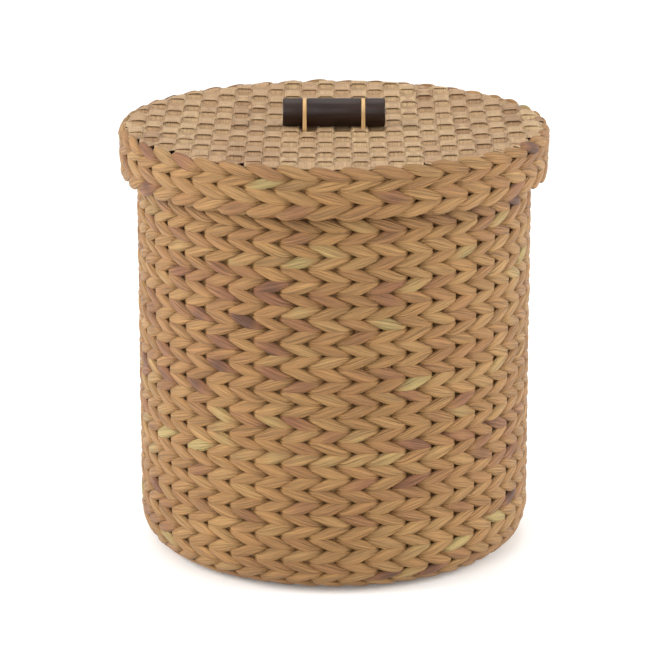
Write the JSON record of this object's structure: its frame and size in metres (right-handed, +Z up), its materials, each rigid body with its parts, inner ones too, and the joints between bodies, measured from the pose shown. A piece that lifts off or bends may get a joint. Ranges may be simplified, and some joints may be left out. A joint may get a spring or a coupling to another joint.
{
  "type": "laundry basket",
  "caption": "Round lidded laundry basket, twined in chevron courses of water hyacinth round flat stakes; plaited lift-off lid with a dark wooden bar handle lashed on by cane ties.",
  "frame": {"origin": "centre of the underside of the base, on the plane it stands on", "axes": "+Z up along the basket's axis of symmetry; the handle bar lies along X, and the basket is seen from the front looking along +Y"},
  "size_m": [0.4349, 0.435, 0.4604],
  "materials": {
    "woven_hyacinth": "matte dried plant stem",
    "panel_strip": "matte flattened plant stem",
    "stake": "matte flat plant stem",
    "cane": "satin peeled cane",
    "dark_wood": "satin dark stain"
  },
  "bodies": {
    "basket": {"wall_stakes": "stake", "outer_spokes": "stake", "inner_spokes": "stake", "base_centre": "woven_hyacinth", "base_course_1": "woven_hyacinth", "base_course_2": "woven_hyacinth", "base_course_3": "woven_hyacinth", "base_course_4": "woven_hyacinth", "base_course_5": "woven_hyacinth", "base_course_6": "woven_hyacinth", "corner_course_1": "woven_hyacinth", "corner_course_2": "woven_hyacinth", "wall_course_01": "woven_hyacinth", "wall_course_02": "woven_hyacinth", "wall_course_03": "woven_hyacinth", "wall_course_04": "woven_hyacinth", "wall_course_05": "woven_hyacinth", "wall_course_06": "woven_hyacinth", "wall_course_07": "woven_hyacinth", "wall_course_08": "woven_hyacinth", "wall_course_09": "woven_hyacinth", "wall_course_10": "woven_hyacinth", "wall_course_11": "woven_hyacinth", "wall_course_12": "woven_hyacinth", "wall_course_13": "woven_hyacinth", "wall_course_14": "woven_hyacinth", "wall_course_15": "woven_hyacinth", "rim_course": "woven_hyacinth", "rim_hoop": "cane"},
    "lid": {"lid_warp_strips": "panel_strip", "lid_weft_strips": "panel_strip", "lid_upper_course": "woven_hyacinth", "lid_lower_course": "woven_hyacinth", "lid_stakes": "stake", "lid_hoop": "cane", "handle_bar": "dark_wood", "handle_tie_left": "cane", "handle_tie_right": "cane"}
  },
  "joints": [
    {"name": "lid_lift", "type": "slide", "parent": "basket", "child": "lid", "axis": [0, 0, 1], "range_m": [0, 0.35]}
  ]
}
